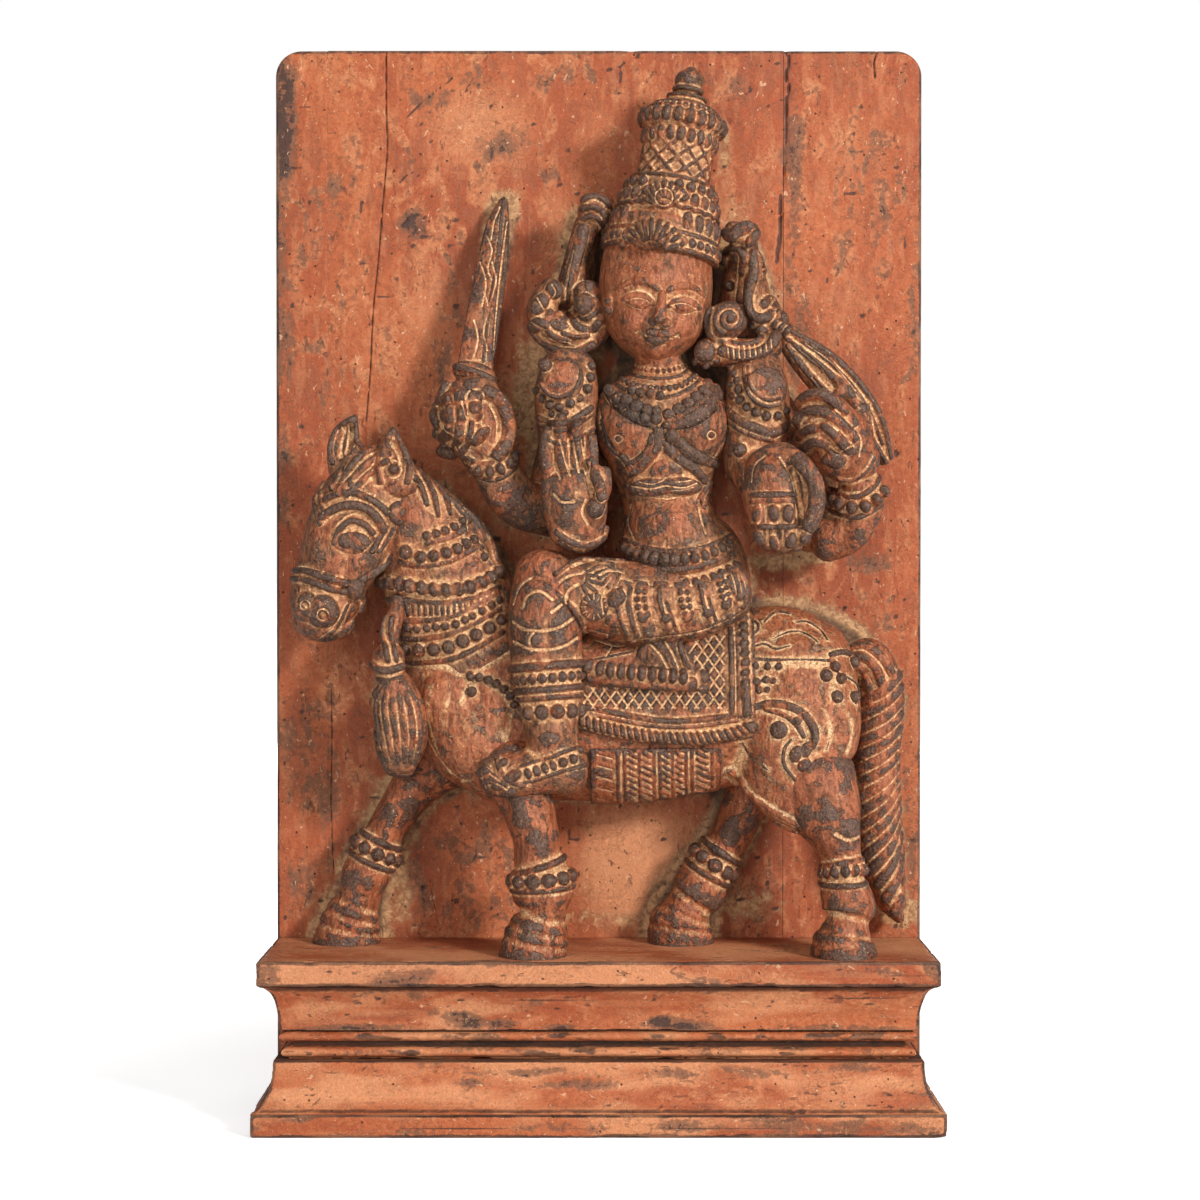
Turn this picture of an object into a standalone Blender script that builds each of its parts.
"""A carved wooden relief panel: a four-armed rider on a walking horse, in front of a plank board on a
moulded plinth. Metres, +Z up, front towards -Y, origin at the middle of the footprint.

The board is edge-glued from planks, the plinth is a stack of moulded layers, and each carved block
of the relief is scribed to its neighbours, seated on the board or the ledge, and pegged from behind.
"""

import math

import bmesh
import bpy
from mathutils import Matrix, Vector

MM = 0.001

# Clearances
FIT_GAP = 0.3 * MM
PEG_PLAY = 0.3 * MM
TOUCHING = 0.01 * MM

# Back board
BOARD_WIDTH = 374 * MM
BOARD_HEIGHT = 610 * MM
BOARD_THICKNESS = 30 * MM
BOARD_CORNER_RADIUS = 15 * MM
BOARD_ARRIS = 1.2 * MM
LEFT_PLANK_WIDTH = 30 * MM
RIGHT_PLANK_WIDTH = 80 * MM

# Plinth, from the floor up
PLINTH_DEPTH = 90 * MM
FOOT_OVERHANG = 3 * MM
FOOT_HEIGHT = 13 * MM
FLARE_HEIGHT = 27 * MM
FLARE_TOP_INSET = 8 * MM
NECK_HEIGHT = 16.5 * MM
NECK_INSET = 18 * MM
BEAD_PROJECTION = 4 * MM
COVE_HEIGHT = 25.5 * MM
COVE_INSET = 11 * MM
LEDGE_HEIGHT = 14 * MM
LEDGE_ARRIS = 1 * MM
CURVE_STEPS = 6

# Joinery
PEG_RADIUS = 4 * MM
PEG_SIDES = 12
PEG_DEPTH = 16 * MM
DOWEL_RADIUS = 5 * MM
DOWEL_LENGTH = 40 * MM
DOWEL_ABOVE_LEDGE = 44 * MM
DOWEL_BELOW_TOP = 90 * MM
BOARD_PEG_SPREAD = 68 * MM
LAYER_PEG_SPREAD = 130 * MM
LAYER_PEG_FORWARD = 40 * MM
BLIND_COVER = 6 * MM

# Harness and sword
CLOTH_THICKNESS = 3 * MM
BAND_THICKNESS = 2 * MM
BAND_GROOVES = 6
GROOVE_WIDTH = 1.6 * MM
BLADE_HALF_THICKNESS = 4 * MM

# Rounded ends of the carved forms, as shares of the section there
CAP_LENGTH = 0.7
CAP_SHOULDER = 0.71

# Worked out from the sizes above
BOARD_BACK_Y = (PLINTH_DEPTH + FOOT_OVERHANG + BOARD_THICKNESS) / 2
BOARD_FACE_Y = BOARD_BACK_Y - BOARD_THICKNESS
LEDGE_FRONT_Y = BOARD_FACE_Y - PLINTH_DEPTH
FLARE_TOP_Z = FOOT_HEIGHT + FLARE_HEIGHT
NECK_TOP_Z = FLARE_TOP_Z + NECK_HEIGHT
COVE_TOP_Z = NECK_TOP_Z + COVE_HEIGHT
LEDGE_TOP_Z = COVE_TOP_Z + LEDGE_HEIGHT
BEAD_HEIGHT = NECK_HEIGHT / 3
LOW_DOWEL_Z = LEDGE_TOP_Z + DOWEL_ABOVE_LEDGE
HIGH_DOWEL_Z = BOARD_HEIGHT - DOWEL_BELOW_TOP

# Carved forms. Each form is a list of lofts, and each loft a list of stations along its middle line:
# across from the centre line, height above the ledge, depth in front of the board, half width and
# half depth of the oval section there, all in millimetres.
HORSE_TRUNK = [
    (-97, 145, 28, 29, 24), (-67, 137, 32, 49, 31), (-22, 133, 34, 50, 33), (23, 133, 34, 50, 33),
    (69, 139, 33, 49, 32), (106, 144, 32, 50, 31), (129, 144, 28, 40, 26),
]
HORSE_NECK = [
    (-67, 163, 33, 38, 28), (-83, 196, 35, 36, 26), (-94, 224, 37, 31, 24), (-106, 246, 38, 25, 22),
    (-113, 261, 38, 16, 17),
]
HORSE_HAUNCH = [
    (108, 163, 40, 34, 24), (112, 132, 46, 36, 24), (110, 106, 50, 33, 22), (116, 88, 54, 26, 18),
    (126, 76, 57, 16, 15),
]
HORSE_SHOULDER = [(-84, 146, 40, 26, 22), (-68, 118, 44, 25, 22), (-55, 97, 48, 17, 17)]
HORSE_SKULL = [
    (-114, 268, 42, 15, 15), (-127, 252, 44, 28, 21), (-140, 231, 46, 26, 21), (-149, 211, 47, 21, 19),
    (-154, 195, 47, 20, 19), (-157, 184, 47, 15, 15),
]
NEAR_EAR = [(-112, 259, 56, 11, 8), (-114, 272, 57, 11, 7), (-116, 290, 56, 2, 3)]
OFF_EAR = [(-139, 267, 40, 12, 8), (-143, 281, 40, 10, 7), (-139, 298, 40, 3, 3)]
FORELOCK = [(-116, 276, 48, 7, 8), (-130, 270, 52, 10, 9), (-141, 257, 55, 6, 6)]
NEAR_FORE_LEG = [
    (-50, 106, 56, 20, 18), (-40, 84, 62, 15, 16), (-35, 66, 65, 13, 15), (-34, 54, 66, 13, 14),
    (-32, 46, 66, 15, 16), (-31, 33, 66, 17, 17), (-31, 24, 66, 13, 15), (-34, 12, 66, 18, 18),
    (-37, -3, 66, 19, 20),
]
NEAR_HIND_LEG = [
    (120, 98, 54, 24, 20), (127, 78, 60, 20, 18), (132, 64, 62, 14, 16), (135, 52, 63, 11, 14),
    (136, 44, 64, 10, 13), (136, 38, 64, 13, 15), (139, 26, 65, 15, 16), (138, 18, 66, 12, 14),
    (136, 7, 67, 18, 19), (136, -4, 68, 18, 20),
]
OFF_FORE_LEG = [
    (-88, 104, 20, 16, 16), (-103, 92, 19, 14, 15), (-113, 79, 19, 12, 14), (-121, 66, 18, 11, 14),
    (-127, 54, 18, 12, 14), (-134, 38, 18, 14, 15), (-137, 27, 18, 12, 14), (-142, 13, 18, 17, 16),
    (-145, -3, 18, 20, 18),
]
OFF_HIND_LEG = [
    (92, 98, 20, 16, 17), (84, 80, 19, 13, 16), (75, 60, 18, 12, 15), (66, 46, 18, 12, 15),
    (61, 38, 18, 14, 15), (57, 29, 18, 16, 16), (52, 21, 18, 13, 15), (48, 11, 18, 19, 17),
    (47, -3, 18, 19, 18),
]
TAIL = [
    (143, 158, 26, 8, 12), (152, 165, 28, 10, 13), (159, 158, 26, 11, 14), (161, 139, 22, 12, 15),
    (158, 109, 20, 12, 16), (158, 78, 19, 13, 16), (161, 48, 18, 12, 15), (166, 26, 16, 8, 12),
    (173, 13, 15, 3, 6),
]
TASSEL_CORD = [(-112, 197, 52, 5, 6), (-116, 177, 56, 5, 6), (-117, 164, 58, 5, 7)]
TASSEL_RING = [(-117, 167, 58, 9, 10), (-117, 159, 58, 9, 10)]
TASSEL_BULB = [
    (-116, 159, 58, 6, 8), (-112, 142, 58, 13, 12), (-109, 122, 56, 14, 12), (-112, 103, 54, 9, 8),
]
RIDER_CHEST = [
    (36, 324, 36, 17, 15), (36, 314, 38, 34, 20), (36, 300, 40, 38, 23), (36, 284, 40, 35, 22),
    (37, 266, 40, 28, 20), (39, 250, 40, 25, 19), (42, 233, 42, 29, 22), (49, 216, 42, 34, 25),
    (53, 199, 40, 34, 26),
]
RIDER_NECK = [(33, 340, 42, 12, 14), (36, 321, 38, 15, 14)]
TORSO_BACKING = [(37, 304, 14, 28, 14), (38, 250, 14, 20, 14), (48, 212, 14, 28, 14)]
RIDER_THIGH = [
    (70, 202, 40, 20, 28), (51, 196, 46, 24, 25), (19, 195, 56, 24, 22), (-13, 201, 62, 19, 19),
    (-33, 203, 64, 17, 17),
]
RIDER_SHIN = [
    (-30, 214, 62, 16, 16), (-30, 192, 66, 20, 18), (-29, 167, 68, 20, 17), (-27, 142, 69, 17, 16),
    (-26, 123, 70, 15, 15), (-25, 110, 71, 15, 14),
]
RIDER_FOOT = [(-15, 103, 70, 13, 14), (-32, 103, 72, 13, 14), (-48, 101, 74, 13, 12), (-60, 100, 74, 11, 9)]
SASH_ROLL = [(-4, 152, 70, 5, 5), (23, 147, 72, 6, 5), (56, 147, 71, 5, 4)]
SASH_FOLD = [(28, 167, 68, 8, 4), (41, 157, 70, 11, 4), (55, 148, 71, 5, 3)]
RIDER_FACE = [
    (32, 332, 44, 11, 10), (32, 342, 44, 23, 20), (32, 356, 43, 30, 26), (32, 372, 42, 32, 29),
    (33, 387, 40, 31, 28), (35, 400, 38, 28, 26),
]
RIDER_NOSE = [(29, 371, 68, 3, 4), (29, 353, 72, 6, 6)]
HEAD_BACKING = [(33, 342, 18, 15, 18), (34, 368, 18, 21, 18), (35, 394, 18, 23, 18)]
LEFT_KNOB = [(-8, 416, 34, 6, 9), (2, 415, 34, 6, 9)]
LEFT_STRAND = [(-5, 411, 30, 7, 8), (-12, 388, 32, 6, 7), (-12, 368, 34, 6, 8)]
LEFT_CURL = [
    (-26, 373, 36, 7, 9), (-32, 359, 38, 9, 10), (-21, 347, 40, 9, 10), (-5, 345, 38, 8, 9),
    (3, 355, 36, 6, 8),
]
LEFT_BOSS = [(-7, 371, 40, 8, 10), (-2, 355, 42, 9, 10)]
LEFT_BACKING = [(-6, 412, 14, 8, 14), (-14, 369, 14, 12, 14), (-14, 349, 14, 15, 14)]
RIGHT_KNOB = [(75, 405, 34, 6, 9), (87, 404, 34, 6, 9)]
RIGHT_LOOP = [
    (78, 392, 34, 5, 7), (87, 388, 34, 5, 7), (87, 366, 36, 5, 7), (94, 352, 36, 6, 7),
    (104, 356, 36, 5, 7),
]
RIGHT_DISC = [(69, 357, 48, 11, 9), (73, 349, 48, 11, 9)]
RIGHT_CURL = [(59, 336, 44, 8, 9), (70, 336, 44, 8, 9), (86, 336, 42, 8, 9), (99, 340, 40, 6, 8)]
RIGHT_BACKING = [(82, 399, 15, 8, 15), (84, 369, 15, 15, 15), (82, 343, 15, 18, 15)]
SWORD_UPPER_ARM = [(-15, 311, 18, 14, 17), (-22, 274, 20, 15, 16), (-29, 244, 32, 15, 15)]
SWORD_FOREARM = [
    (-30, 247, 34, 14, 14), (-45, 252, 42, 14, 13), (-56, 266, 45, 13, 13), (-61, 277, 46, 11, 13),
]
SWORD_HAND = [(-63, 280, 45, 15, 15), (-69, 299, 45, 22, 18), (-71, 314, 44, 15, 13)]
BLESSING_ARM = [
    (-17, 329, 40, 15, 14), (-18, 314, 44, 18, 19), (-18, 295, 44, 17, 18), (-15, 264, 40, 15, 16),
    (-13, 242, 46, 16, 15),
]
BLESSING_WRIST = [(-13, 240, 48, 16, 13), (-12, 237, 60, 16, 13), (-12, 239, 70, 15, 12)]
BLESSING_PALM = [(-12, 233, 71, 15, 9), (-13, 249, 74, 18, 10), (-15, 264, 74, 17, 8)]
BLESSING_THUMB = [(-3, 247, 80, 5, 5), (2, 258, 79, 5, 5), (3, 268, 78, 4, 4)]
RESTING_ARM = [
    (88, 329, 38, 15, 14), (89, 315, 42, 18, 19), (89, 295, 42, 18, 18), (86, 276, 44, 16, 16),
    (91, 265, 54, 15, 15),
]
RESTING_HAND = [
    (95, 274, 64, 16, 12), (100, 262, 70, 22, 14), (101, 246, 72, 20, 13), (102, 232, 70, 16, 10),
]
RESTING_THUMB = [(113, 268, 78, 5, 5), (117, 254, 80, 6, 5), (112, 240, 80, 5, 4)]
RAISED_UPPER_ARM = [(99, 305, 16, 14, 15), (112, 271, 18, 14, 16), (126, 236, 26, 17, 16)]
RAISED_FOREARM = [
    (129, 234, 30, 16, 15), (140, 237, 35, 14, 14), (147, 251, 40, 14, 14), (147, 263, 44, 12, 13),
]
RAISED_HAND = [(146, 272, 46, 14, 13), (133, 286, 52, 20, 17), (126, 301, 50, 15, 13)]
FLAME_LEAF = [
    (102, 351, 36, 5, 5), (114, 338, 38, 10, 7), (133, 319, 38, 13, 8), (150, 298, 36, 11, 7),
    (162, 276, 32, 4, 4),
]
SWORD_GRIP = [
    (-85, 280, 45, 7, 6), (-83, 288, 44, 4, 4), (-74, 313, 42, 4, 4), (-71, 322, 40, 12, 7),
    (-70, 326, 39, 12, 7),
]
SWORD_BLADE_PATH = [
    (-71, 319, 40, 10), (-66, 354, 30, 10), (-61, 387, 20, 9), (-58, 410, 13, 7), (-55, 425, 8, 3),
    (-54.5, 428, 7, 1),
]

# Fingers of the hands: first joint, middle and tip, with one radius each
BLESSING_FINGERS = [
    [(-26, 262, 74, 4), (-29, 278, 74, 4), (-28, 290, 73, 3)],
    [(-19, 264, 75, 4), (-21, 284, 75, 4), (-21, 298, 74, 3)],
    [(-12, 264, 75, 4), (-12, 283, 75, 4), (-12, 295, 74, 3)],
    [(-5, 262, 74, 4), (-4, 277, 74, 4), (-4, 287, 73, 3)],
]
RESTING_FINGERS = [
    [(92, 249, 80, 5), (92, 237, 81, 5), (93, 228, 76, 4)],
    [(101, 248, 81, 5), (101, 235, 82, 5), (101, 226, 77, 4)],
    [(109, 247, 79, 5), (109, 235, 80, 5), (108, 227, 76, 4)],
]
SWORD_FINGERS = [
    [(-87, 307, 49, 4), (-79, 310, 62, 5), (-67, 309, 63, 4)],
    [(-89, 298, 49, 4), (-80, 300, 63, 5), (-67, 300, 64, 4)],
    [(-88, 289, 49, 4), (-79, 291, 62, 5), (-67, 291, 63, 4)],
]
RAISED_FINGERS = [
    [(115, 303, 58, 4), (122, 307, 65, 5), (133, 303, 66, 4)],
    [(114, 294, 60, 4), (122, 297, 68, 5), (134, 294, 69, 4)],
    [(117, 285, 61, 4), (125, 288, 69, 5), (136, 285, 69, 4)],
]

# Crown: turned about a leaning axis. Half width and height above its foot, in millimetres.
CROWN_FOOT = (34.5, 389, 39)
CROWN_LEAN = math.radians(9.5)
CROWN_TIP_BACK = math.radians(4)
CROWN_PROFILE = [
    (0, 110), (3, 109.5), (7, 106), (8.2, 101), (6, 96), (6, 93.5), (13, 89), (18, 85.5), (19, 83),
    (23, 81), (23.5, 75), (20, 71.5), (20.5, 65), (19, 62), (19.5, 46), (23, 42), (25, 36), (27, 33),
    (28.5, 21), (30, 19), (31, 10), (32, 8), (32, 2), (30, 0), (0, 0),
]
CROWN_STEPS = 14

# Cloth, belly band and their outlines on the trunk: across and height, in millimetres
CLOTH_OUTLINE = [(-14, 200), (86, 200), (89, 147), (88, 121), (56, 116), (23, 118), (-14, 126)]
BAND_OUTLINE = [(-5, 123), (23, 115), (56, 113), (69, 116), (69, 70), (-5, 70)]
HARNESS_BACK_DEPTH = 24

# Pegs from behind the board: name, across and height above the ledge in millimetres
RELIEF_PEGS = {
    "horse_body": [(-50, 135), (85, 140)],
    "rider_torso": [(38, 270)],
    "rider_head": [(34, 368)],
    "tail": [(158, 100)],
    "off_fore_leg": [(-119, 70)],
    "off_hind_leg": [(78, 67)],
    "sword_arm": [(-20, 278)],
    "raised_arm": [(116, 268)],
}


def clear_scene():
    for old in list(bpy.data.objects):
        bpy.data.objects.remove(old)


def new_collection(name):
    collection = bpy.data.collections.new(name)
    bpy.context.scene.collection.children.link(collection)
    return collection


def make_material(name, colour, roughness):
    material = bpy.data.materials.new(name)
    material.use_nodes = True
    shader = material.node_tree.nodes["Principled BSDF"]
    shader.inputs["Base Color"].default_value = (*colour, 1)
    shader.inputs["Roughness"].default_value = roughness
    shader.inputs["Metallic"].default_value = 0
    return material


def object_from(name, bm):
    """A scene object that holds this bmesh, with its faces pointing out."""
    bmesh.ops.recalc_face_normals(bm, faces=bm.faces)
    mesh = bpy.data.meshes.new(name)
    bm.to_mesh(mesh)
    bm.free()
    obj = bpy.data.objects.new(name, mesh)
    cutters.objects.link(obj)
    return obj


def apply_modifiers(obj):
    graph = bpy.context.evaluated_depsgraph_get()
    mesh = bpy.data.meshes.new_from_object(obj.evaluated_get(graph))
    obj.modifiers.clear()
    obj.data = mesh


def boolean(obj, other, operation):
    """Joins, cuts or keeps the common part of two closed meshes, and removes the other object."""
    modifier = obj.modifiers.new("Boolean", "BOOLEAN")
    modifier.operation = operation
    modifier.object = other
    apply_modifiers(obj)
    bpy.data.objects.remove(other)


def keep_largest_body(obj):
    """Removes the crumbs that a cut leaves, and keeps the one big body."""
    bm = bmesh.new()
    bm.from_mesh(obj.data)
    left = set(bm.verts)
    bodies = []
    while left:
        stack = [left.pop()]
        body = set(stack)
        while stack:
            for edge in stack.pop().link_edges:
                for vert in edge.verts:
                    if vert in left:
                        left.discard(vert)
                        body.add(vert)
                        stack.append(vert)
        bodies.append(body)
    bodies.sort(key=len, reverse=True)
    for crumb in bodies[1:]:
        bmesh.ops.delete(bm, geom=list(crumb), context="VERTS")
    bm.to_mesh(obj.data)
    bm.free()


def finish(obj, material, angle=40):
    """Moves a finished piece from the workbench to the statue."""
    cutters.objects.unlink(obj)
    statue.objects.link(obj)
    obj.data.materials.clear()
    obj.data.materials.append(material)
    obj.data.shade_smooth()
    obj.data.set_sharp_from_angle(angle=math.radians(angle))
    return obj


def carving_point(across, height, depth):
    """A point of the relief in the world: millimetres from the centre line, ledge and board face."""
    return Vector((across * MM, BOARD_FACE_Y - depth * MM, LEDGE_TOP_Z + height * MM))


def box(name, low, high):
    bm = bmesh.new()
    bmesh.ops.create_cube(bm, size=1)
    size = [b - a for a, b in zip(low, high)]
    middle = [(a + b) / 2 for a, b in zip(low, high)]
    bmesh.ops.scale(bm, vec=size, verts=bm.verts)
    bmesh.ops.translate(bm, vec=middle, verts=bm.verts)
    return object_from(name, bm)


def cylinder(name, start, end, radius, sides=PEG_SIDES):
    """A closed cylinder between two points."""
    axis = Vector(end) - Vector(start)
    turn = axis.to_track_quat("Z", "Y").to_matrix().to_4x4()
    bm = bmesh.new()
    bmesh.ops.create_cone(
        bm, cap_ends=True, segments=sides, radius1=radius, radius2=radius, depth=axis.length,
        matrix=Matrix.Translation(Vector(start) + axis / 2) @ turn,
    )
    return object_from(name, bm)


def catmull_rom(points, steps):
    """Points on a smooth curve through these stations, all columns alike."""
    rows = [points[0], *points, points[-1]]
    found = []
    for a, b, c, d in zip(rows, rows[1:], rows[2:], rows[3:]):
        for step in range(steps):
            t = step / steps
            found.append([
                q + t / 2 * (r - p + t * (2 * p - 5 * q + 4 * r - s + t * (3 * q - p - 3 * r + s)))
                for p, q, r, s in zip(a, b, c, d)
            ])
    found.append(list(points[-1]))
    return found


def loft(name, stations, grow=0.0, sides=10, steps=2):
    """A closed, round-ended body through oval sections. grow, in metres, swells it on every side."""
    rows = catmull_rom(stations, steps)
    centres = [carving_point(*row[:3]) for row in rows]
    tangents = [
        (centres[min(i + 1, len(rows) - 1)] - centres[max(i - 1, 0)]).normalized() for i in range(len(rows))
    ]
    depth_axis = Vector((0, 1, 0))
    bm = bmesh.new()
    rings = []

    def add_ring(centre, tangent, half_width, half_depth):
        wide = tangent.cross(depth_axis)
        if wide.length < 0.35:
            wide = Vector((1, 0, 0)) - tangent * tangent.x
        wide.normalize()
        deep = wide.cross(tangent)
        ring = []
        for k in range(sides):
            turn = 2 * math.pi * k / sides
            offset = wide * half_width * math.cos(turn) + deep * half_depth * math.sin(turn)
            ring.append(bm.verts.new(centre + offset))
        rings.append(ring)

    def radii(row):
        return row[3] * MM + grow, row[4] * MM + grow

    def cap(end, sign):
        half_width, half_depth = radii(rows[end])
        reach = sign * tangents[end] * CAP_LENGTH * min(half_width, half_depth)
        shoulder_at = centres[end] + reach * CAP_SHOULDER
        shoulder = (shoulder_at, tangents[end], half_width * CAP_SHOULDER, half_depth * CAP_SHOULDER)
        return shoulder, centres[end] + reach

    first_shoulder, first_pole = cap(0, -1)
    last_shoulder, last_pole = cap(-1, 1)
    add_ring(*first_shoulder)
    for row, centre, tangent in zip(rows, centres, tangents):
        add_ring(centre, tangent, *radii(row))
    add_ring(*last_shoulder)
    for lower, upper in zip(rings, rings[1:]):
        for k in range(sides):
            along = (k + 1) % sides
            bm.faces.new((lower[k], lower[along], upper[along]))
            bm.faces.new((lower[k], upper[along], upper[k]))
    for ring, pole in ((rings[0], first_pole), (rings[-1], last_pole)):
        tip = bm.verts.new(pole)
        for k in range(sides):
            bm.faces.new((ring[k], ring[(k + 1) % sides], tip))
    return object_from(name, bm)


def finger(name, joints, grow=0.0):
    return loft(name, [(*joint, joint[3]) for joint in joints], grow=grow, sides=6, steps=1)


def outline_prism(name, outline, near_depth, far_depth):
    """A flat outline of the relief, extruded between two depths in front of the board."""
    bm = bmesh.new()
    face = bm.faces.new([bm.verts.new(carving_point(x, h, near_depth)) for x, h in outline])
    pushed = bmesh.ops.extrude_face_region(bm, geom=[face])["geom"]
    verts = [v for v in pushed if isinstance(v, bmesh.types.BMVert)]
    bmesh.ops.translate(bm, vec=(0, (near_depth - far_depth) * MM, 0), verts=verts)
    return object_from(name, bm)


def joined(name, bodies):
    """One body out of several that overlap."""
    first, *others = bodies
    for other in others:
        boolean(first, other, "UNION")
    first.name = name
    return first


def clear_of_frame(obj):
    """Cuts a carved block flat where it seats on the board's face and on the ledge."""
    far = BOARD_HEIGHT
    behind = box("behind", (-far, BOARD_FACE_Y - FIT_GAP, -far), (far, far, 2 * far))
    boolean(obj, behind, "DIFFERENCE")
    below = box("below", (-far, -far, -far), (far, far, LEDGE_TOP_Z + FIT_GAP))
    boolean(obj, below, "DIFFERENCE")


def spans_meet(low_a, high_a, low_b, high_b):
    return all(a <= d and c <= b for a, b, c, d in zip(low_a, high_a, low_b, high_b))


def bounds(obj):
    corners = [obj.matrix_world @ vert.co for vert in obj.data.vertices]
    return [min(c[i] for c in corners) for i in range(3)], [max(c[i] for c in corners) for i in range(3)]


def cut_where_they_meet(obj, cutter):
    if spans_meet(*bounds(obj), *bounds(cutter)):
        boolean(obj, cutter, "DIFFERENCE")
    else:
        bpy.data.objects.remove(cutter)


def scribe(obj, neighbour, grow=FIT_GAP):
    """Cuts a block back from the lofts of a neighbour that was carved before it."""
    for part in blocks[neighbour](grow):
        cut_where_they_meet(obj, part)


def carve(name, material, after=(), build_up=()):
    """Makes a carved block from its lofts, seated on the frame and scribed to the blocks before it.
    Where a harness piece lies between, the neighbours in build_up are cleared by its thickness too."""
    obj = joined(name, blocks[name](0.0))
    clear_of_frame(obj)
    for neighbour in after:
        scribe(obj, neighbour)
    for neighbour in build_up:
        scribe(obj, neighbour, grow=CLOTH_THICKNESS + 2 * FIT_GAP)
    keep_largest_body(obj)
    return finish(obj, material)


def lofts(*station_lists, sides=10, steps=1):
    """A maker of a form's lofts, at their real size or grown into cutters."""
    return lambda grow: [loft("loft", stations, grow, sides, steps) for stations in station_lists]


def hand_lofts(body_lists, finger_lists):
    return lambda grow: [
        *[loft("loft", stations, grow, 8, 1) for stations in body_lists],
        *[finger("finger", joints, grow) for joints in finger_lists],
    ]


def crown_body(grow):
    """The turned crown: half of its profile, screwed round the leaning axis."""
    bm = bmesh.new()
    middle_z = CROWN_PROFILE[0][1] / 2
    previous = None
    for radius, height in CROWN_PROFILE:
        out = radius * MM + (grow if radius else 0)
        up = height * MM + math.copysign(grow, height - middle_z)
        vert = bm.verts.new((out, 0, up))
        if previous:
            bm.edges.new((previous, vert))
        previous = vert
    mesh = bpy.data.meshes.new("crown")
    bm.to_mesh(mesh)
    bm.free()
    obj = bpy.data.objects.new("crown", mesh)
    cutters.objects.link(obj)
    screw = obj.modifiers.new("Screw", "SCREW")
    screw.steps = CROWN_STEPS
    screw.render_steps = CROWN_STEPS
    screw.use_merge_vertices = True
    screw.merge_threshold = 0.00001
    lean = Matrix.Rotation(CROWN_LEAN, 4, "Y") @ Matrix.Rotation(-CROWN_TIP_BACK, 4, "X")
    obj.matrix_world = Matrix.Translation(carving_point(*CROWN_FOOT)) @ lean
    bpy.context.view_layer.update()
    apply_modifiers(obj)
    obj.data.transform(obj.matrix_world)
    obj.matrix_world = Matrix.Identity(4)
    return [obj]


def sword_bodies(grow):
    """The grip with its guard and pommel, and the blade, which has a diamond section."""
    thickest = BLADE_HALF_THICKNESS / MM
    blade_stations = [(*station, min(station[3], thickest)) for station in SWORD_BLADE_PATH]
    blade = loft("blade", blade_stations, grow, sides=4, steps=1)
    grip = loft("grip", SWORD_GRIP, grow, sides=8, steps=1)
    return [grip, blade]


def harness_place(name, outline):
    """The room in front of and behind the trunk's skin inside an outline, past the thickest harness."""
    trunk_front = max(depth + half_depth for _, _, depth, _, half_depth in HORSE_TRUNK + HORSE_HAUNCH)
    return outline_prism(name, outline, HARNESS_BACK_DEPTH, trunk_front + 3 * CLOTH_THICKNESS / MM)


def fitted_shell(name, outline, thickness):
    """A harness piece: the part of the trunk's swollen skin that lies inside its outline."""
    shell = harness_place(name, outline)
    swollen = joined("swollen", blocks["horse_body"](thickness + FIT_GAP))
    boolean(shell, swollen, "INTERSECT")
    for part in blocks["horse_body"](FIT_GAP):
        cut_where_they_meet(shell, part)
    keep_largest_body(shell)
    return shell


def ribbed_belly_band():
    """The band under the belly, below the cloth, with grooves that follow the belly's curve."""
    band = fitted_shell("belly_band", BAND_OUTLINE, BAND_THICKNESS)
    boolean(band, harness_place("cloth_place", grown_outline(CLOTH_OUTLINE)), "DIFFERENCE")
    across = [x for x, height in BAND_OUTLINE]
    heights = [height for x, height in BAND_OUTLINE]
    pitch = (max(across) - min(across)) / (BAND_GROOVES + 1)
    half_width = GROOVE_WIDTH / MM / 2
    for number in range(1, BAND_GROOVES + 1):
        middle = min(across) + number * pitch
        left, right, low, high = middle - half_width, middle + half_width, min(heights), max(heights)
        slot = [(left, low), (right, low), (right, high), (left, high)]
        groove = harness_place("groove", slot)
        for part in blocks["horse_body"](FIT_GAP + BAND_THICKNESS / 2):
            cut_where_they_meet(groove, part)
        boolean(band, groove, "DIFFERENCE")
    keep_largest_body(band)
    return band


def lies_at(edge, axis, value):
    """Whether both ends of an edge are at this place along the axis."""
    return all(abs(vert.co[axis] - value) < TOUCHING for vert in edge.verts)


def board_plank(name, left, right, outer_edge=None):
    """A plank of the back board. outer_edge is its side that is also the board's own side."""
    plank = box(name, (left, BOARD_FACE_Y, 0), (right, BOARD_BACK_Y, BOARD_HEIGHT))
    bm = bmesh.new()
    bm.from_mesh(plank.data)
    if outer_edge is not None:
        outer = [edge for edge in bm.edges if lies_at(edge, 0, outer_edge)]
        corner = [edge for edge in outer if lies_at(edge, 2, BOARD_HEIGHT)]
        bmesh.ops.bevel(bm, geom=corner, offset=BOARD_CORNER_RADIUS, segments=6, profile=0.5, affect="EDGES")
    plain = [(0, side) for side in (left, right) if side != outer_edge] + [(2, 0)]
    rim = [
        edge for edge in bm.edges
        if lies_at(edge, 1, BOARD_FACE_Y) and not any(lies_at(edge, axis, value) for axis, value in plain)
    ]
    bmesh.ops.bevel(bm, geom=rim, offset=BOARD_ARRIS, segments=2, profile=0.5, affect="EDGES")
    bm.to_mesh(plank.data)
    bm.free()
    return plank


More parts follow.
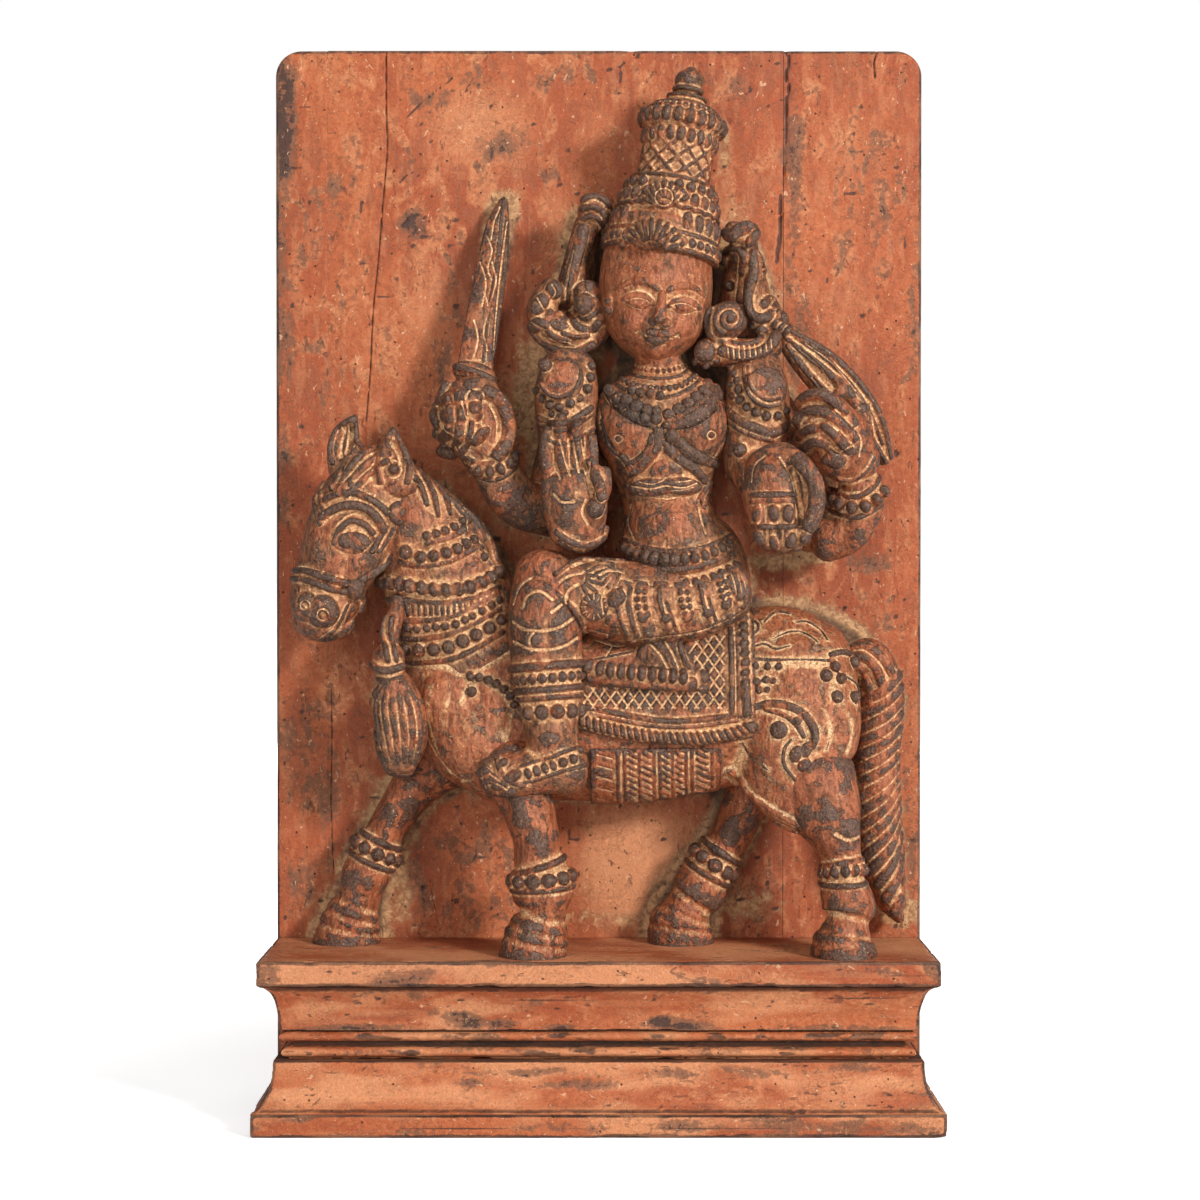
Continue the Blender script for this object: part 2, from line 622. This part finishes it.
def moulded_layer(name, profile):
    """A plinth layer whose profile runs round its front and both sides. profile lists height above
    the floor and inset from the ledge's face, from the bottom up."""
    bm = bmesh.new()
    rings = []
    for z, inset in profile:
        half = BOARD_WIDTH / 2 - inset
        front = LEDGE_FRONT_Y + inset
        back = BOARD_FACE_Y - FIT_GAP
        corners = ((-half, back), (-half, front), (half, front), (half, back))
        rings.append([bm.verts.new((x, y, z)) for x, y in corners])
    for lower, upper in zip(rings, rings[1:]):
        for k in range(4):
            bm.faces.new((lower[k], lower[(k + 1) % 4], upper[(k + 1) % 4], upper[k]))
    bm.faces.new(rings[0])
    bm.faces.new(rings[-1])
    return object_from(name, bm)


def curve_profile(z_low, z_high, inset_low, inset_high, hollow):
    """A quarter turn between two profile points. hollow bends it into the moulding."""
    rows = []
    for step in range(CURVE_STEPS + 1):
        turn = math.pi / 2 * step / CURVE_STEPS
        rise, run = (1 - math.cos(turn), math.sin(turn)) if hollow else (math.sin(turn), 1 - math.cos(turn))
        rows.append((z_low + (z_high - z_low) * rise, inset_low + (inset_high - inset_low) * run))
    return rows


def bead_profile(z_low, height, inset):
    """A half-round bead on the plinth's neck."""
    rows = []
    for step in range(CURVE_STEPS + 1):
        turn = math.pi * step / CURVE_STEPS
        rows.append((z_low + height / 2 * (1 - math.cos(turn)), inset - BEAD_PROJECTION * math.sin(turn)))
    return rows


def build_plinth():
    """The four layers: foot with its flare, beaded neck, cove and ledge."""
    foot = [(0, -FOOT_OVERHANG + LEDGE_ARRIS), (LEDGE_ARRIS, -FOOT_OVERHANG), (FOOT_HEIGHT, -FOOT_OVERHANG)]
    flare = curve_profile(FOOT_HEIGHT, FLARE_TOP_Z - FIT_GAP, -FOOT_OVERHANG, FLARE_TOP_INSET, hollow=True)
    foot += flare[1:]
    lower_bead = FLARE_TOP_Z + LEDGE_ARRIS
    upper_bead = NECK_TOP_Z - LEDGE_ARRIS - BEAD_HEIGHT
    lower_inset = NECK_INSET - BEAD_PROJECTION / 2
    upper_inset = COVE_INSET + BEAD_PROJECTION
    neck = [(FLARE_TOP_Z, lower_inset), *bead_profile(lower_bead, BEAD_HEIGHT, lower_inset)]
    neck += [(lower_bead + BEAD_HEIGHT + LEDGE_ARRIS, NECK_INSET), (upper_bead - LEDGE_ARRIS, NECK_INSET)]
    neck += [*bead_profile(upper_bead, BEAD_HEIGHT, upper_inset), (NECK_TOP_Z - FIT_GAP, upper_inset)]
    cove_foot = NECK_TOP_Z + LEDGE_ARRIS
    cove = [(NECK_TOP_Z, COVE_INSET)]
    cove += curve_profile(cove_foot, COVE_TOP_Z - FIT_GAP, COVE_INSET, LEDGE_ARRIS, hollow=False)
    ledge = [(COVE_TOP_Z, LEDGE_ARRIS), (COVE_TOP_Z + LEDGE_ARRIS, 0)]
    ledge += [(LEDGE_TOP_Z - LEDGE_ARRIS, 0), (LEDGE_TOP_Z, LEDGE_ARRIS)]
    layers = {
        "plinth_foot": moulded_layer("plinth_foot", foot),
        "plinth_neck": moulded_layer("plinth_neck", neck),
        "plinth_cove": moulded_layer("plinth_cove", cove),
        "plinth_ledge": moulded_layer("plinth_ledge", ledge),
    }
    for side in (-1, 1):
        where = (side * LAYER_PEG_SPREAD, BOARD_FACE_Y - LAYER_PEG_FORWARD)
        low, high = BLIND_COVER, LEDGE_TOP_Z - BLIND_COVER
        hole_reach = PEG_PLAY + FIT_GAP
        for layer in layers.values():
            ends = (*where, low - hole_reach), (*where, high + hole_reach)
            hole = cylinder("hole", *ends, PEG_RADIUS + PEG_PLAY)
            boolean(layer, hole, "DIFFERENCE")
        name = "layer_peg_left" if side < 0 else "layer_peg_right"
        finish(cylinder(name, (*where, low), (*where, high), PEG_RADIUS), peg_wood)
    return layers


def build_board():
    """Three planks with loose dowels across their two glued joints."""
    edge = BOARD_WIDTH / 2
    left_joint = -edge + LEFT_PLANK_WIDTH
    right_joint = edge - RIGHT_PLANK_WIDTH
    half_gap = FIT_GAP / 2
    spans = {
        "board_left_plank": (-edge, left_joint - half_gap, -edge),
        "board_centre_plank": (left_joint + half_gap, right_joint - half_gap),
        "board_right_plank": (right_joint + half_gap, edge, edge),
    }
    planks = {name: board_plank(name, *span) for name, span in spans.items()}
    middle_y = (BOARD_FACE_Y + BOARD_BACK_Y) / 2
    for side, joint in (("left", left_joint), ("right", right_joint)):
        for level, z in (("low", LOW_DOWEL_Z), ("high", HIGH_DOWEL_Z)):
            half_length = DOWEL_LENGTH / 2
            reach = half_length + FIT_GAP
            for plank in (planks[f"board_{side}_plank"], planks["board_centre_plank"]):
                hole_ends = (joint - reach, middle_y, z), (joint + reach, middle_y, z)
                boolean(plank, cylinder("hole", *hole_ends, DOWEL_RADIUS + PEG_PLAY), "DIFFERENCE")
            ends = (joint - half_length, middle_y, z), (joint + half_length, middle_y, z)
            finish(cylinder(f"board_dowel_{side}_{level}", *ends, DOWEL_RADIUS), peg_wood)
    return planks


def drive_peg(name, x, z, planks, target):
    """A peg from behind the board, through the planks it crosses, into the piece in front of it."""
    hole_radius = PEG_RADIUS + PEG_PLAY
    tip_y = BOARD_FACE_Y - PEG_DEPTH
    crossed = []
    for plank in planks.values():
        low, high = bounds(plank)
        if low[0] < x + hole_radius and x - hole_radius < high[0]:
            crossed.append(plank)
    for piece in (*crossed, target):
        hole = cylinder("hole", (x, BOARD_BACK_Y + MM, z), (x, tip_y - FIT_GAP, z), hole_radius)
        boolean(piece, hole, "DIFFERENCE")
    finish(cylinder(name, (x, BOARD_BACK_Y - FIT_GAP, z), (x, tip_y, z), PEG_RADIUS), peg_wood)


def drive_pegs(planks, layers):
    """The pegs that hold the plinth's layers and the carved blocks to the board."""
    peg_heights = {"plinth_foot": FOOT_HEIGHT + FLARE_HEIGHT / 3, "plinth_cove": NECK_TOP_Z + COVE_HEIGHT / 2}
    for layer, z in peg_heights.items():
        drive_peg(f"{layer}_peg_left", -BOARD_PEG_SPREAD, z, planks, layers[layer])
        drive_peg(f"{layer}_peg_right", BOARD_PEG_SPREAD, z, planks, layers[layer])
    for block, places in RELIEF_PEGS.items():
        for number, (across, height) in enumerate(places, 1):
            z = LEDGE_TOP_Z + height * MM
            drive_peg(f"{block}_peg_{number}", across * MM, z, planks, bpy.data.objects[block])


def build_relief():
    """The carved blocks, from those that carry to those that are carried."""
    horse_before = ["horse_body", "horse_head", "off_fore_leg", "off_hind_leg"]
    carve("horse_body", carved_wood)
    carve("horse_head", carved_wood, after=["horse_body"])
    carve("off_fore_leg", carved_wood, after=["horse_body"])
    carve("off_hind_leg", carved_wood, after=["horse_body"])
    carve("near_fore_leg", carved_wood, after=horse_before)
    carve("near_hind_leg", carved_wood, after=horse_before)
    carve("tail", carved_wood, after=["horse_body", "near_hind_leg"])

    finish(fitted_shell("saddle_cloth", CLOTH_OUTLINE, CLOTH_THICKNESS), carved_wood)
    finish(ribbed_belly_band(), carved_wood)

    carve("rider_torso", carved_wood, build_up=["horse_body"])
    carve("rider_thigh", carved_wood, after=["rider_torso"], build_up=["horse_body"])
    carve("rider_lower_leg", carved_wood, after=["rider_thigh", "near_fore_leg"], build_up=["horse_body"])
    carve("sash_end", carved_wood, after=["rider_thigh", "rider_lower_leg"], build_up=["horse_body"])
    carve("neck_tassel", carved_wood, after=["horse_body", "horse_head", "off_fore_leg"])
    carve("rider_head", carved_wood, after=["rider_torso"])
    carve("crown", carved_wood, after=["rider_head"])
    carve("ear_ornament_left", carved_wood, after=["rider_head", "crown", "rider_torso"])
    carve("ear_ornament_right", carved_wood, after=["rider_head", "crown", "rider_torso"])
    carve("sword", carved_wood)
    carve(
        "sword_arm", carved_wood,
        after=["sword", "horse_body", "rider_torso", "ear_ornament_left", "horse_head"],
    )
    carve(
        "blessing_arm", carved_wood,
        after=["sword_arm", "rider_torso", "rider_thigh", "ear_ornament_left", "rider_head"],
    )
    carve("flame_leaf", carved_wood, after=["ear_ornament_right"])
    carve("raised_arm", carved_wood, after=["flame_leaf", "rider_torso", "horse_body"])
    carve(
        "resting_arm", carved_wood,
        after=["raised_arm", "rider_torso", "rider_thigh", "ear_ornament_right", "rider_head"],
    )


def grown_outline(outline, by=FIT_GAP / MM):
    """The same outline, moved out from its middle by a small gap."""
    middle = [sum(p[i] for p in outline) / len(outline) for i in range(2)]
    return [(x + math.copysign(by, x - middle[0]), h + math.copysign(by, h - middle[1])) for x, h in outline]


blocks = {
    "horse_body": lofts(HORSE_TRUNK, HORSE_NECK, HORSE_HAUNCH, HORSE_SHOULDER, sides=14),
    "horse_head": lofts(HORSE_SKULL, NEAR_EAR, OFF_EAR, FORELOCK, sides=8),
    "near_fore_leg": lofts(NEAR_FORE_LEG),
    "near_hind_leg": lofts(NEAR_HIND_LEG),
    "off_fore_leg": lofts(OFF_FORE_LEG, sides=8),
    "off_hind_leg": lofts(OFF_HIND_LEG, sides=8),
    "tail": lofts(TAIL, sides=8),
    "neck_tassel": lofts(TASSEL_CORD, TASSEL_RING, TASSEL_BULB, sides=8),
    "rider_torso": lofts(RIDER_CHEST, RIDER_NECK, TORSO_BACKING, sides=12),
    "rider_thigh": lofts(RIDER_THIGH),
    "rider_lower_leg": lofts(RIDER_SHIN, RIDER_FOOT, sides=8),
    "sash_end": lofts(SASH_ROLL, SASH_FOLD, sides=8),
    "rider_head": lofts(RIDER_FACE, RIDER_NOSE, HEAD_BACKING, sides=12),
    "crown": crown_body,
    "ear_ornament_left": lofts(LEFT_BACKING, LEFT_KNOB, LEFT_STRAND, LEFT_CURL, LEFT_BOSS, sides=8),
    "ear_ornament_right": lofts(RIGHT_BACKING, RIGHT_KNOB, RIGHT_LOOP, RIGHT_DISC, RIGHT_CURL, sides=8),
    "sword": sword_bodies,
    "sword_arm": hand_lofts([SWORD_UPPER_ARM, SWORD_FOREARM, SWORD_HAND], SWORD_FINGERS),
    "blessing_arm": hand_lofts(
        [BLESSING_ARM, BLESSING_WRIST, BLESSING_PALM, BLESSING_THUMB], BLESSING_FINGERS,
    ),
    "resting_arm": hand_lofts([RESTING_ARM, RESTING_HAND, RESTING_THUMB], RESTING_FINGERS),
    "raised_arm": hand_lofts([RAISED_UPPER_ARM, RAISED_FOREARM, RAISED_HAND], RAISED_FINGERS),
    "flame_leaf": lofts(FLAME_LEAF, sides=8),
}

clear_scene()
statue = new_collection("shiva_statue")
cutters = new_collection("cutters")
painted_board = make_material("painted_board", (0.50, 0.16, 0.08), 0.75)
carved_wood = make_material("carved_wood", (0.16, 0.07, 0.045), 0.55)
peg_wood = make_material("peg_wood", (0.40, 0.26, 0.15), 0.7)

board_planks = build_board()
plinth_layers = build_plinth()
build_relief()
drive_pegs(board_planks, plinth_layers)
for piece in (*board_planks.values(), *plinth_layers.values()):
    finish(piece, painted_board, angle=30)
for cutter in cutters.objects:
    cutter.hide_render = True
    cutter.display_type = "WIRE"
